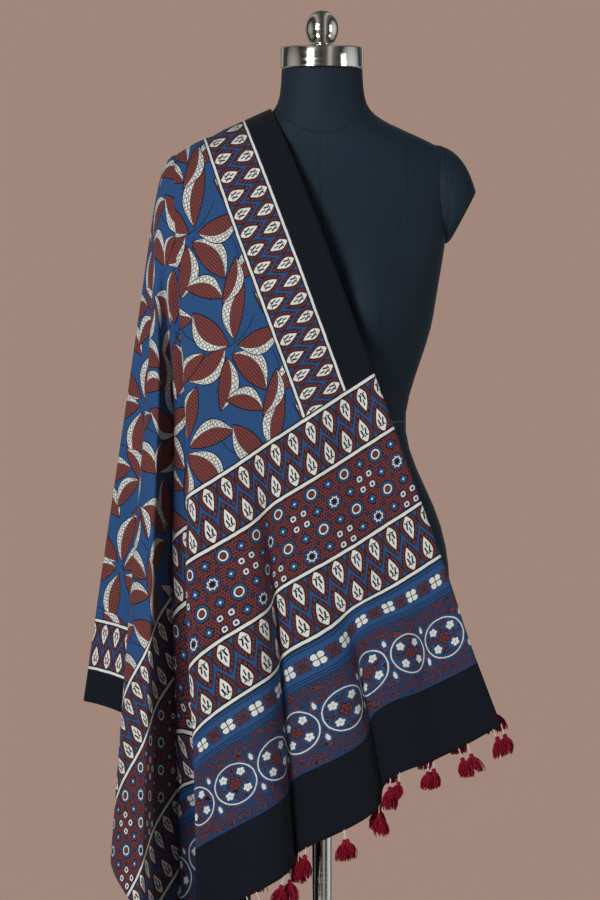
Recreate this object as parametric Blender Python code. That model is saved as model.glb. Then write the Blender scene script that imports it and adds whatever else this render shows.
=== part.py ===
"""An ajrakh stole draped over one shoulder of a dress form, on the form's pole and base.

Metres, +Z up, the viewer stands at -Y, and the origin is the middle of the base's underside.
The stole is one rectangle of cloth. Seen from above its shoulder point, every straight line
drawn on the flat cloth out of that point hangs down with its own length, so the drape is a
cone whose lines lean as the folds table says. The front panel is the sheared flat part of it.
"""

import math

import bmesh
import bpy
import numpy as np
from mathutils import Matrix, Vector
from mathutils.bvhtree import BVHTree

# --- Driving dimensions ---------------------------------------------------------------------
CLOTH_WIDTH = 0.855
FRONT_LENGTH = 0.850  # from the shoulder line to the front hem
BACK_LENGTH = 0.840
CLOTH_THICKNESS = 0.0016
CLOTH_CLEARANCE = 0.0055  # from the form to the middle of the cloth
SHOULDER_REACH = 0.15  # of the width that lies between the neck edge and the shoulder point
SHOULDER_POINT = Vector((-0.185, 0.0, 1.31))
SHOULDER_CROWN, CROWN_REACH = 0.015, 0.075  # how far the cloth rises over the shoulder's rounded end
# The front panel: the slopes of its two edges, and how it rolls over the shoulder and the bust.
ALONG_FALL = (0.342, -0.940)  # X and Z gained per metre towards the front hem
ACROSS_FALL = (-0.837, -0.547)  # X and Z gained per metre towards the outer edge
TOP_SLACK, TOP_ROLL = 0.020, 0.030  # length taken up in the roll over the shoulder, and its size
SHOULDER_OUT, SHOULDER_ROLL = 0.056, 0.032
BUST_OUT, BUST_LENGTH = 0.074, 0.26
NECK_SETTLE, NECK_ACROSS, NECK_ALONG = 0.016, 0.06, 0.12  # how the neck edge settles onto the shoulder
# The fan of folds: how it stands off the shoulder point, and where it gives way to the panel.
CAP_WIDTH, CAP_DEPTH, CAP_ROLL, CAP_SLACK = 0.018, 0.050, 0.03, 0.022
ROUND_LEAN_X, ROUND_LEAN_OUT = 0.142, 0.115  # leans over the arm, before the folds form
FOLD_START, FOLD_GROWTH = 0.06, 0.26
FOLD_STRETCH, STRETCH_ANGLE = 0.07, 60.0
PANEL_ANGLE = 70.0
PANEL_BLEND = 8.0
EDGE_BOW, EDGE_BREADTH, EDGE_LENGTH = 0.016, 9.0, 0.95  # how the panel's edge bows to +X
TUCK_REACH, TUCK_DEPTH = 0.07, 0.9  # how far to each side a tuck is felt, and its step per tuck
RINGS, RING_GROWTH = 18, 1.25  # of the cloth's mesh, from the shoulder point to its edge
SETTLE_ROUNDS, FIRM_ROUNDS = 48, 14

TASSEL_STATIONS = 19  # along each end
TASSEL_END_GAP = 0.006
TASSEL_CORD = 0.016
TUFT_LENGTH = 0.024
TUFT_RADIUS = 0.0095
TUFT_SPREAD = 0.0050  # of the two tufts of a pair, each side of the middle
CORD_RADIUS, TUFT_NECK = 0.0010, 0.0040
SWING_TILTS, SWING_STEP = (12, 25, 40), 45
TASSEL_SIDES = 5

BODY_SIDES, ARM_SIDES = 36, 24
GAP = 0.0003
NECK_CAP_RADIUS, NECK_CAP_BOTTOM, NECK_CAP_TOP = 0.0525, 1.437, 1.464
BALL_RADIUS, BALL_HALF_HEIGHT, BALL_MIDDLE = 0.0214, 0.0232, 1.4868
POLE_RADIUS = 0.0125
BASE_RADIUS, BASE_THICKNESS = 0.190, 0.008
SOCKET_RADIUS, SOCKET_TOP = 0.030, 0.048
ROUND_SIDES = 32

# The folds of one half of the fan, from its outermost fold round to the front panel. The angle
# is measured on the flat cloth from the shoulder point, 0 across the width and 90 along the
# length. The leans are how far that line goes to +X and to -Y for each metre of its length.
FOLDS = (
    # name,             angle, lean_x, lean_out
    ("side fold", 0.0, -0.142, 0.000),
    ("side fold face", 9.0, -0.040, 0.034),
    ("hidden pleat", 20.0, 0.085, -0.010),
    ("tube, outer side", 34.0, -0.076, 0.060),
    ("tube, crown", 40.0, -0.035, 0.130),
    ("tube, inner side", 43.5, -0.018, 0.075),
    ("deep valley", 49.0, 0.030, -0.040),
    ("narrow fold", 57.0, 0.014, -0.005),
    ("tucked pleat", 64.0, 0.105, 0.000),
    ("panel edge", 70.0, 0.034, 0.115),
    ("panel", 78.0, 0.150, 0.110),
)

# Soft upright waves of the front panel. Each runs from its top to its foot, where it is fully
# grown: it stands out by its rise, is gathered sideways from both sides by its tuck, and is
# drawn up by its lift.
WAVES = (
    # name, top_x, top_z, foot_x, foot_z, rise, breadth, tuck, lift
    ("crease", -0.081, 1.000, -0.036, 0.450, -0.014, 0.020, 0.017, 0.000),
    ("left swell", -0.115, 0.900, -0.085, 0.440, 0.017, 0.030, 0.000, 0.000),
    ("middle swell", -0.030, 0.850, 0.008, 0.500, 0.017, 0.030, 0.000, 0.000),
    ("valley", 0.022, 0.800, 0.070, 0.530, -0.014, 0.019, 0.018, 0.000),
    ("right swell", 0.066, 0.800, 0.100, 0.560, 0.012, 0.048, 0.000, 0.018),
    ("outer crease", 0.105, 0.800, 0.140, 0.590, -0.004, 0.018, 0.008, 0.000),
    ("bust drag", 0.010, 1.120, 0.075, 0.800, -0.006, 0.030, 0.000, 0.000),
)

# The dress form's level sections. Its outline there is a superellipse.
FORM = (
    # height, half_width, front, back, squareness
    (0.700, 0.1560, 0.102, 0.112, 2.2),
    (0.740, 0.1610, 0.108, 0.120, 2.2),
    (0.780, 0.1630, 0.110, 0.124, 2.2),
    (0.830, 0.1590, 0.108, 0.120, 2.2),
    (0.880, 0.1440, 0.100, 0.106, 2.2),
    (0.930, 0.1180, 0.089, 0.088, 2.2),
    (0.977, 0.1030, 0.080, 0.077, 2.2),
    (1.020, 0.1090, 0.083, 0.080, 2.2),
    (1.070, 0.1270, 0.092, 0.088, 2.2),
    (1.110, 0.1400, 0.098, 0.094, 2.3),
    (1.140, 0.1440, 0.100, 0.097, 2.4),
    (1.180, 0.1510, 0.097, 0.098, 2.5),
    (1.230, 0.1590, 0.086, 0.096, 2.6),
    (1.280, 0.1640, 0.071, 0.088, 2.7),
    (1.315, 0.1640, 0.060, 0.077, 2.7),
    (1.333, 0.1560, 0.054, 0.069, 2.5),
    (1.347, 0.1290, 0.052, 0.064, 2.3),
    (1.360, 0.0990, 0.051, 0.060, 2.2),
    (1.371, 0.0760, 0.051, 0.057, 2.1),
    (1.383, 0.0600, 0.051, 0.054, 2.0),
    (1.400, 0.0530, 0.051, 0.052, 2.0),
    (1.4367, 0.0515, 0.0515, 0.0515, 2.0),
)
BUST_X, BUST_Z, BUST_RISE, BUST_WIDTH, BUST_HEIGHT = 0.074, 1.125, 0.026, 0.046, 0.058
# The stump of each arm: level with the armhole it is upright, and its cut end slopes under it.
ARM_RINGS = (
    # name,     top_x, top_z, bottom_x, bottom_z, half_depth
    ("inside", 0.120, 1.346, 0.120, 1.215, 0.036),
    ("armhole", 0.162, 1.337, 0.153, 1.213, 0.042),
    ("swell", 0.183, 1.313, 0.159, 1.214, 0.044),
    ("cut end", 0.1955, 1.279, 0.164, 1.220, 0.033),
)


# --- Small helpers --------------------------------------------------------------------------
def material(name, hex_colour, roughness, metallic=0.0):
    """A Principled material of one sRGB colour."""
    made = bpy.data.materials.new(name)
    made.use_nodes = True
    shader = made.node_tree.nodes["Principled BSDF"]
    levels = [int(hex_colour[i : i + 2], 16) / 255 for i in (1, 3, 5)]
    linear = [c / 12.92 if c <= 0.04045 else ((c + 0.055) / 1.055) ** 2.4 for c in levels]
    shader.inputs["Base Color"].default_value = (*linear, 1.0)
    shader.inputs["Roughness"].default_value = roughness
    shader.inputs["Metallic"].default_value = metallic
    return made


def finish_object(name, bm, finish):
    """Puts a bmesh in the scene as one named object."""
    mesh = bpy.data.meshes.new(name)
    bm.to_mesh(mesh)
    bm.free()
    made = bpy.data.objects.new(name, mesh)
    bpy.context.scene.collection.objects.link(made)
    mesh.materials.append(finish)
    mesh.shade_smooth()
    mesh.set_sharp_from_angle(angle=math.radians(40))
    return made


def eased(value):
    """0 to 1, level at both ends."""
    value = min(max(value, 0.0), 1.0)
    return value * value * (3 - 2 * value)


def through(knots, at):
    """The columns of a table at a value of its first column, on a smooth curve through the rows."""
    last = len(knots) - 2
    i = next((k for k in range(last) if at < knots[k + 1][0]), last)
    a, b = knots[i], knots[i + 1]
    before, after = knots[max(i - 1, 0)], knots[min(i + 2, last + 1)]
    span = b[0] - a[0]
    t = (at - a[0]) / span
    found = []
    for c in range(1, len(a)):
        slope_a = (b[c] - before[c]) / (b[0] - before[0]) * span
        slope_b = (after[c] - a[c]) / (after[0] - a[0]) * span
        found.append(
            (2 * t**3 - 3 * t**2 + 1) * a[c]
            + (t**3 - 2 * t**2 + t) * slope_a
            + (3 * t**2 - 2 * t**3) * b[c]
            + (t**3 - t**2) * slope_b
        )
    return found


def lofted(rings):
    """A closed solid through rings of the same number of points, first and last capped."""
    bm = bmesh.new()
    loops = [[bm.verts.new(point) for point in ring] for ring in rings]
    for low, high in zip(loops, loops[1:]):
        for i in range(len(low)):
            j = (i + 1) % len(low)
            bm.faces.new((low[i], low[j], high[j], high[i]))
    bm.faces.new(loops[0])
    bm.faces.new(loops[-1])
    bmesh.ops.recalc_face_normals(bm, faces=bm.faces)
    return bm


def turned(profile, sides, bottom=0.0):
    """A closed solid of a (radius, height) profile turned about the Z axis."""
    rings = []
    for radius, height in profile:
        turns = (2 * math.pi * i / sides for i in range(sides))
        rings.append([(radius * math.cos(a), radius * math.sin(a), bottom + height) for a in turns])
    return lofted(rings)


# --- The dress form ---------------------------------------------------------------------------
def form_ring(height, half_width, front, back, squareness):
    """One level section of the form, with its share of the bust."""
    ring = []
    for i in range(BODY_SIDES):
        turn = 2 * math.pi * i / BODY_SIDES
        c, s = math.cos(turn), math.sin(turn)
        x = half_width * math.copysign(abs(c) ** (2 / squareness), c)
        y = (back if s > 0 else front) * math.copysign(abs(s) ** (2 / squareness), s)
        if s < 0:
            across = (abs(x) - BUST_X) / BUST_WIDTH
            up = (height - BUST_Z) / BUST_HEIGHT
            y -= BUST_RISE * math.exp(-across * across - up * up) * -s
        ring.append((x, y, height))
    return ring


def arm_ring(side, top_x, top_z, bottom_x, bottom_z, half_depth):
    """One oval section of an arm stump, from the top round to the bottom and back."""
    middle = Vector((side * (top_x + bottom_x) / 2, 0, (top_z + bottom_z) / 2))
    up = Vector((side * (top_x - bottom_x) / 2, 0, (top_z - bottom_z) / 2))
    turns = (2 * math.pi * i / ARM_SIDES for i in range(ARM_SIDES))
    return [middle + up * math.cos(a) + Vector((0, half_depth * math.sin(a), 0)) for a in turns]


def make_torso(name, rings, finish):
    """The padded torso with the stumps of both arms, as one solid."""
    torso = finish_object(name, lofted(rings), finish)
    for side, side_name in ((1, "left"), (-1, "right")):
        bm = lofted([arm_ring(side, *row[1:]) for row in ARM_RINGS])
        arm = finish_object(f"{name}_{side_name}_arm", bm, finish)
        arm.hide_render = True
        arm.display_type = "WIRE"
        joined = torso.modifiers.new(f"{side_name} arm", "BOOLEAN")
        joined.operation = "UNION"
        joined.object = arm
    return torso


def draping_form(rings, finish):
    """The torso drawn on below its cut end, so that no cloth tucks under it, as a tree to drape on."""
    skirt = form_ring(FORM[0][0] - 0.15, *FORM[0][1:])
    torso = make_torso("draping_form", [skirt] + rings, finish)
    bpy.context.view_layer.update()
    tree = BVHTree.FromObject(torso, bpy.context.evaluated_depsgraph_get())
    for made in [torso] + [joined.object for joined in torso.modifiers]:
        bpy.data.objects.remove(made, do_unlink=True)
    return tree


def make_stand(chrome, steel):
    """The neck cap, its ball, the pole and the round base with its socket."""
    cap = NECK_CAP_TOP - NECK_CAP_BOTTOM
    profile = ((NECK_CAP_RADIUS, 0), (NECK_CAP_RADIUS, cap - 0.002), (NECK_CAP_RADIUS - 0.002, cap))
    finish_object("neck_cap", turned(profile, ROUND_SIDES, NECK_CAP_BOTTOM), chrome)
    ball = []
    low = math.asin((NECK_CAP_TOP + GAP - BALL_MIDDLE) / BALL_HALF_HEIGHT)
    for i in range(9):
        lift = low + (math.radians(84) - low) * i / 8
        ball.append((BALL_RADIUS * math.cos(lift), BALL_HALF_HEIGHT * math.sin(lift)))
    finish_object("cap_ball", turned(ball, 24, BALL_MIDDLE), chrome)
    base = (
        (BASE_RADIUS, 0.0),
        (BASE_RADIUS, BASE_THICKNESS - 0.002),
        (BASE_RADIUS - 0.003, BASE_THICKNESS),
        (SOCKET_RADIUS + 0.006, BASE_THICKNESS + 0.002),
        (SOCKET_RADIUS, BASE_THICKNESS + 0.006),
        (SOCKET_RADIUS, SOCKET_TOP - 0.002),
        (SOCKET_RADIUS - 0.002, SOCKET_TOP),
    )
    finish_object("stand_base", turned(base, 48), steel)
    pole = ((POLE_RADIUS, SOCKET_TOP + GAP), (POLE_RADIUS, FORM[0][0] - GAP))
    finish_object("stand_pole", turned(pole, ROUND_SIDES), chrome)


# --- The cloth --------------------------------------------------------------------------------
def panel_point(across, along):
    """The smooth front panel: over the shoulder, down past the bust, then hanging."""
    drop = along - TOP_SLACK * (1 - math.exp(-along / TOP_ROLL))
    x = SHOULDER_POINT.x + ACROSS_FALL[0] * across + ALONG_FALL[0] * drop
    z = SHOULDER_POINT.z + ACROSS_FALL[1] * across + ALONG_FALL[1] * drop
    z -= NECK_SETTLE * math.exp(-(across + SHOULDER_REACH) / NECK_ACROSS - along / NECK_ALONG)
    out = SHOULDER_OUT * (1 - math.exp(-along / SHOULDER_ROLL)) + BUST_OUT * eased(along / BUST_LENGTH)
    gathered = lifted = 0.0
    for _, top_x, top_z, foot_x, foot_z, rise, breadth, tuck, lift in WAVES:
        down = (top_z - z) / (top_z - foot_z)
        off = x - top_x - (foot_x - top_x) * down
        grown = eased(2 * down)
        swell = grown * math.exp(-((off / breadth) ** 2))
        turned_in = tuck * grown * math.tanh(off / breadth) * math.exp(-((off / TUCK_REACH) ** 2))
        out += rise * swell - TUCK_DEPTH * turned_in
        gathered += turned_in
        lifted += lift * swell
    return Vector((x - gathered, -out, z + lifted))


def fan_point(angle, reach):
    """The folded side: round over the arm's top, then down the line that leans as its fold does."""
    turn = math.radians(min(angle, PANEL_ANGLE) * 90 / PANEL_ANGLE)
    lean_x, lean_out = through([row[1:] for row in FOLDS], angle)
    stretch = 1 + FOLD_STRETCH * eased(angle / STRETCH_ANGLE)
    fall = math.sqrt(1 - lean_x**2 - lean_out**2) * stretch
    folded = eased((reach - FOLD_START) / FOLD_GROWTH)
    lean_x = folded * lean_x - (1 - folded) * ROUND_LEAN_X * math.cos(turn)
    lean_out = folded * lean_out + (1 - folded) * ROUND_LEAN_OUT * math.sin(turn)
    stand = 1 - math.exp(-reach / CAP_ROLL)
    bow = math.sin(math.pi * min(reach / EDGE_LENGTH, 1.0))
    bow *= math.exp(-(((angle - PANEL_ANGLE) / EDGE_BREADTH) ** 2))
    x = SHOULDER_POINT.x - CAP_WIDTH * math.cos(turn) * stand + lean_x * reach + EDGE_BOW * bow
    out = CAP_DEPTH * math.sin(turn) * stand + lean_out * reach
    z = SHOULDER_POINT.z - (reach - CAP_SLACK * stand) * fall
    return Vector((x, -out, z))


def drape_point(angle, reach):
    """Where the point of the flat cloth at this angle and distance hangs. Back angles are negative."""
    front = abs(angle)
    across, along = reach * math.cos(math.radians(front)), reach * math.sin(math.radians(front))
    in_panel = eased((front - PANEL_ANGLE + PANEL_BLEND / 2) / PANEL_BLEND)
    point = Vector((0, 0, 0))
    if in_panel > 0:
        point += in_panel * panel_point(across, along)
    if in_panel < 1:
        point += (1 - in_panel) * fan_point(front, reach)
    point.z += SHOULDER_CROWN * math.exp(-((reach / CROWN_REACH) ** 2))
    if angle < 0:
        point.y = -point.y
    return point


def edge_reach(angle):
    """From the shoulder point to the edge of the flat rectangle, at this angle."""
    c, s = math.cos(math.radians(angle)), math.sin(math.radians(angle))
    reaches = []
    if c > 1e-9:
        reaches.append((CLOTH_WIDTH - SHOULDER_REACH) / c)
    if c < -1e-9:
        reaches.append(SHOULDER_REACH / -c)
    if s > 1e-9:
        reaches.append(FRONT_LENGTH / s)
    if s < -1e-9:
        reaches.append(BACK_LENGTH / -s)
    return min(reaches)


def ray_angles():
    """Angles of the mesh's rays: close in the folds, wider in the panels, one through each corner."""
    angles = []
    for length, sign in ((FRONT_LENGTH, 1), (BACK_LENGTH, -1)):
        outer = math.degrees(math.atan2(length, CLOTH_WIDTH - SHOULDER_REACH))
        inner = math.degrees(math.atan2(length, -SHOULDER_REACH))
        spans = ((0.0, outer, 17), (outer, 78.0, 9), (78.0, inner, 9), (inner, 180.0, 6))
        for start, end, steps in spans:
            angles += [sign * (start + (end - start) * i / steps) for i in range(steps)]
    angles.remove(-0.0)
    return sorted(angles) + [180.0]


def lift_clear(point, form):
    """The move that takes a point out of the form, to the clearance over its surface."""
    point = Vector(point)
    if point.z < FORM[0][0] - 0.05:
        return Vector()
    place, normal, _, _ = form.find_nearest(point)
    height = (point - place).dot(normal)
    return normal * max(0.0, CLOTH_CLEARANCE - height)


CORNER = ((0, 0),)
CELL_EDGES = (((0, 0), (0, 1)), ((0, 0), (1, 0)))
CELL_DIAGONALS = (((0, 0), (1, 1)), ((0, 1), (1, 0)))


def settled(places, form):
    """The rays of places, eased off the form: each lift is shared smoothly with its neighbours.

    A cell's corners are lifted clear, and so are the middles of its edges and diagonals.
    """
    lifts = np.zeros_like(places)
    for turn in range(SETTLE_ROUNDS):
        after = np.roll(lifts, -1, axis=0)
        before = np.roll(lifts, 1, axis=0)
        outer = np.concatenate([lifts[:, 1:], lifts[:, -1:]], axis=1)
        inner = np.concatenate([lifts[:, :1], lifts[:, :-1]], axis=1)
        if turn < SETTLE_ROUNDS - FIRM_ROUNDS:
            lifts = lifts * 0.4 + (after + before + outer + inner) * 0.15
        lifts[:, 0] = lifts[:, 0].mean(axis=0)
        now = places + lifts
        for corners in CORNER, *CELL_EDGES, *CELL_DIAGONALS:
            spots = sum(np.roll(now, (-i, -k), axis=(0, 1)) for i, k in corners) / len(corners)
            for i, k in np.ndindex(spots.shape[0], spots.shape[1] - 1):
                lift = lift_clear(spots[i, k], form)
                if lift.length > 1e-5:
                    for di, dk in corners:
                        lifts[(i + di) % len(places), k + dk] += np.array(lift) / len(corners)
    return places + lifts


def make_cloth(form, finish):
    """The stole's middle surface as rays and rings about the shoulder point, then its thickness."""
    shares = [(k / RINGS) ** RING_GROWTH for k in range(RINGS + 1)]
    places = [[drape_point(a, edge_reach(a) * share) for share in shares] for a in ray_angles()]
    places = settled(np.array(places), form)
    bm = bmesh.new()
    apex = bm.verts.new(places[:, 0].mean(axis=0))
    rays = [[bm.verts.new(place) for place in ray[1:]] for ray in places]
    for ray, after in zip(rays, rays[1:] + rays[:1]):
        bm.faces.new((apex, ray[0], after[0]))
        for k in range(RINGS - 1):
            bm.faces.new((ray[k], ray[k + 1], after[k + 1], after[k]))
    bmesh.ops.recalc_face_normals(bm, faces=bm.faces)
    cloth = finish_object("cloth", bm, finish)
    thick = cloth.modifiers.new("thickness", "SOLIDIFY")
    thick.thickness = CLOTH_THICKNESS
    thick.offset = 0.0
    return cloth


# --- The tassels --------------------------------------------------------------------------------
def tassel_pair(finish):
    """Two tufts side by side, joined where they touch, each hanging from its own cord."""
    profile = (
        # radius, height
        (CORD_RADIUS, -GAP - CLOTH_THICKNESS / 2),
        (CORD_RADIUS, -TASSEL_CORD),
        (TUFT_NECK, -TASSEL_CORD - TUFT_NECK),
        (TUFT_RADIUS, -TASSEL_CORD - TUFT_LENGTH * 0.75),
        (TUFT_RADIUS * 0.8, -TASSEL_CORD - TUFT_LENGTH),
    )
    tufts = []
    for side in (-1, 1):
        bm = turned(profile, TASSEL_SIDES)
        bm.transform(Matrix.Rotation(side * 0.3, 4, "Z"))
        bm.transform(Matrix.Translation((side * TUFT_SPREAD, side * 0.0015, 0)))
        tufts.append(finish_object(f"tuft_{side}", bm, finish))
    joined = tufts[0].modifiers.new("pair", "BOOLEAN")
    joined.operation = "UNION"
    joined.object = tufts[1]
    bpy.context.view_layer.update()
    graph = bpy.context.evaluated_depsgraph_get()
    pair = bpy.data.meshes.new_from_object(tufts[0].evaluated_get(graph))
    for tuft in tufts:
        bpy.data.objects.remove(tuft, do_unlink=True)
    return pair


def make_tassels(cloth, finish):
    """Pairs of tassels along both ends, each swung to where it hangs clear of cloth and neighbours."""
    graph = bpy.context.evaluated_depsgraph_get()
    taken = [BVHTree.FromObject(cloth, graph)]
    pair = tassel_pair(finish)
    swings = [(0, 0)] + [(tilt, towards) for tilt in SWING_TILTS for towards in range(0, 360, SWING_STEP)]
    for end, length, sign in (("front", FRONT_LENGTH, 1), ("back", BACK_LENGTH, -1)):
        for k in range(TASSEL_STATIONS):
            usable = CLOTH_WIDTH - 2 * TASSEL_END_GAP
            across = TASSEL_END_GAP + usable * k / (TASSEL_STATIONS - 1) - SHOULDER_REACH
            angle = math.degrees(math.atan2(length, across))
            foot = drape_point(sign * angle, math.hypot(across, length))
            for tilt, towards in swings:
                bm = bmesh.new()
                bm.from_mesh(pair)
                aim = Matrix.Rotation(math.radians(towards), 4, "Z")
                swing = aim @ Matrix.Rotation(math.radians(tilt), 4, "X")
                bm.transform(Matrix.Translation(foot) @ swing)
                tree = BVHTree.FromBMesh(bm)
                if not any(tree.overlap(other) for other in taken):
                    taken.append(tree)
                    finish_object(f"{end}_tassel_{k + 1:02d}", bm, finish)
                    break
                bm.free()


# --- The whole ------------------------------------------------------------------------------------
def main():
    for old in list(bpy.data.objects):
        bpy.data.objects.remove(old, do_unlink=True)
    navy = material("form cover, navy jersey", "#1B222B", 0.75)
    chrome = material("polished chrome", "#C9C9C6", 0.12, 1.0)
    steel = material("brushed steel", "#9A9B9C", 0.35, 1.0)
    cotton = material("block-printed cotton", "#24508A", 0.8)
    crimson = material("crimson tassel yarn", "#8A1630", 0.8)
    rings = [form_ring(*row) for row in FORM]
    make_torso("form_torso", rings, navy)
    make_stand(chrome, steel)
    cloth = make_cloth(draping_form(rings, navy), cotton)
    bpy.context.view_layer.update()
    make_tassels(cloth, crimson)


main()
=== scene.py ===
"""The looks of an ajrakh stole draped on a dress form. It follows the object as it is put together."""

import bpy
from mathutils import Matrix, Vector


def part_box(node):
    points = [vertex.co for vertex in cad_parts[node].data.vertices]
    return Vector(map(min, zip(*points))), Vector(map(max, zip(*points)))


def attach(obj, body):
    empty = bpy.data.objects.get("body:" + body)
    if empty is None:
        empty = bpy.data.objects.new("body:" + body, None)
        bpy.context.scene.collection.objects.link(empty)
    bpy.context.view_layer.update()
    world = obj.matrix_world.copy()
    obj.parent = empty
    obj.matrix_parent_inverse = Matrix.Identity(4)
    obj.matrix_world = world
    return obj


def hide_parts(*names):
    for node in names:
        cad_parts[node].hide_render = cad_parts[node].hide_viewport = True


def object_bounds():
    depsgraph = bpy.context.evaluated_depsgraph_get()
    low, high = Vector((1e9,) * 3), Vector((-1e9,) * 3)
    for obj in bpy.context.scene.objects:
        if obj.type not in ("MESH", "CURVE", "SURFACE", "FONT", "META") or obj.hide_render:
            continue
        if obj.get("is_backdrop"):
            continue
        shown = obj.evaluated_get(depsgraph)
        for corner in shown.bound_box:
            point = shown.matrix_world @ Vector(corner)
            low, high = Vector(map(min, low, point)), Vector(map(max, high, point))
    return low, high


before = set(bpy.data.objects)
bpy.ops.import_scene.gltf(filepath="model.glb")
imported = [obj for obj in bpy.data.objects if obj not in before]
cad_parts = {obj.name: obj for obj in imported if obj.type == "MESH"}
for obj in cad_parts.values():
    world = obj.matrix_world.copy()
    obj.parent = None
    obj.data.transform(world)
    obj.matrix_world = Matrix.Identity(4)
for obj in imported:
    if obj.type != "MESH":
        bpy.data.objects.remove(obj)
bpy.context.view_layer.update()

import ast
import math
import random

import bmesh
import bpy
import numpy as np
from mathutils import Vector
from mathutils.bvhtree import BVHTree

scene = bpy.context.scene

# --- The view ---------------------------------------------
# A long lens seven metres off and level with the chest. Its shift lowers the frame to the cloth.
VIEW_DISTANCE, VIEW_HEIGHT = 7.0, 1.10
FRAME_HEIGHT, FRAME_MIDDLE_X, FRAME_MIDDLE_Z = 1.143, -0.028, 0.952

camera_data = bpy.data.cameras.new("camera")
camera_data.sensor_width = 36
camera_data.lens = 36 * VIEW_DISTANCE / FRAME_HEIGHT
camera_data.shift_y = (FRAME_MIDDLE_Z - VIEW_HEIGHT) / FRAME_HEIGHT
camera = bpy.data.objects.new("camera", camera_data)
camera.location = (FRAME_MIDDLE_X, -VIEW_DISTANCE, VIEW_HEIGHT)
camera.rotation_euler = (math.radians(90), 0, 0)
scene.collection.objects.link(camera)
scene.camera = camera

# --- The studio floor -------------------------------------
# A round of smooth pale floor, painted matt, that the stand's base rests on.
FLOOR_RADIUS = 3.0


def linear(hex_colour):
    """An sRGB hex colour as the linear colour that a node takes."""
    levels = [int(hex_colour[i : i + 2], 16) / 255 for i in (1, 3, 5)]
    return (*(c / 12.92 if c <= 0.04045 else ((c + 0.055) / 1.055) ** 2.4 for c in levels), 1.0)


def node(tree, kind, inputs=(), **settings):
    """Adds one node with its settings. Inputs maps sockets to a value or to the socket that feeds them."""
    made = tree.nodes.new(kind)
    for name, value in settings.items():
        setattr(made, name, value)
    for socket, value in dict(inputs).items():
        if isinstance(value, bpy.types.NodeSocket):
            tree.links.new(value, made.inputs[socket])
        else:
            made.inputs[socket].default_value = value
    return made


def new_material(name, **sockets):
    """A material, its node tree and its Principled shader with these sockets set."""
    made = bpy.data.materials.new(name)
    made.use_nodes = True
    shader = made.node_tree.nodes["Principled BSDF"]
    for socket, value in sockets.items():
        shader.inputs[socket.replace("_", " ")].default_value = value
    return made, made.node_tree, shader


def new_piece(name, bm, finish):
    """Puts a bmesh in the scene as one smooth-shaded object at the origin."""
    mesh = bpy.data.meshes.new(name)
    bm.to_mesh(mesh)
    bm.free()
    made = bpy.data.objects.new(name, mesh)
    scene.collection.objects.link(made)
    mesh.materials.append(finish)
    mesh.shade_smooth()
    return made


# Matt floor paint: flat and even, with the faint cloudiness of a rolled coat.
floor_paint, tree, shader = new_material("matt floor paint", Roughness=0.8)
place = node(tree, "ShaderNodeTexCoord")
clouds = node(tree, "ShaderNodeTexNoise", {"Vector": place.outputs["Object"], "Scale": 3.0, "Detail": 3.0})
tones = {"Factor": clouds.outputs["Fac"], "A": linear("#E6E0DA"), "B": linear("#EEE9E4")}
tone = node(tree, "ShaderNodeMix", tones, data_type="RGBA").outputs["Result"]
tree.links.new(tone, shader.inputs["Base Color"])
bm = bmesh.new()
bmesh.ops.create_circle(bm, cap_ends=True, segments=96, radius=FLOOR_RADIUS)
floor = new_piece("studio_floor", bm, floor_paint)
floor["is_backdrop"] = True

# --- The studio light -------------------------------------
# A tall key softbox in front on the left, a weaker one at the right and one behind. The room is
# an even dim grey, with a warm paper backdrop behind the object.
world = bpy.data.worlds.new("room")
scene.world = world
world.use_nodes = True
tree = world.node_tree
backdrop = tree.nodes["Background"]
backdrop.inputs["Color"].default_value = linear("#A1877B")
rays = node(tree, "ShaderNodeLightPath").outputs
room = node(tree, "ShaderNodeBackground", {"Color": linear("#8C8A88"), "Strength": 0.18})
# What the chrome mirrors: dark and pale upright drops round the room, from its left to its right.
facing = node(tree, "ShaderNodeTexCoord").outputs["Generated"]
across_room = node(tree, "ShaderNodeSeparateXYZ", {0: facing}).outputs["X"]
across_room = node(tree, "ShaderNodeMapRange", {"Value": across_room, "From Min": -1.0}).outputs[0]
drops = node(tree, "ShaderNodeValToRGB", {"Fac": across_room})
ROOM_DROPS = (
    (0.00, "#C9C6BE"), (0.07, "#3A3835"), (0.16, "#55524E"), (0.24, "#D8D4CC"), (0.33, "#8B8780"),
    (0.46, "#4A4744"), (0.60, "#6E6B66"), (0.68, "#E6E3DC"), (0.76, "#7C7872"), (0.90, "#33312F"),
    (1.00, "#BDB9B0"),
)  # fmt: skip
for at, colour in ROOM_DROPS:
    stop = drops.color_ramp.elements.new(at)
    stop.color = linear(colour)
drops.color_ramp.elements.remove(drops.color_ramp.elements[0])
drops.color_ramp.elements.remove(drops.color_ramp.elements[-1])
mirrored = node(tree, "ShaderNodeBackground", {"Color": drops.outputs["Color"], "Strength": 0.75})
lit = {0: rays["Is Glossy Ray"], 1: room.outputs[0], 2: mirrored.outputs[0]}
lit = node(tree, "ShaderNodeMixShader", lit)
seen = {0: rays["Is Camera Ray"], 1: lit.outputs[0], 2: backdrop.outputs[0]}
seen = node(tree, "ShaderNodeMixShader", seen)
tree.links.new(seen.outputs[0], tree.nodes["World Output"].inputs["Surface"])
scene.view_settings.view_transform = "Standard"

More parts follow.
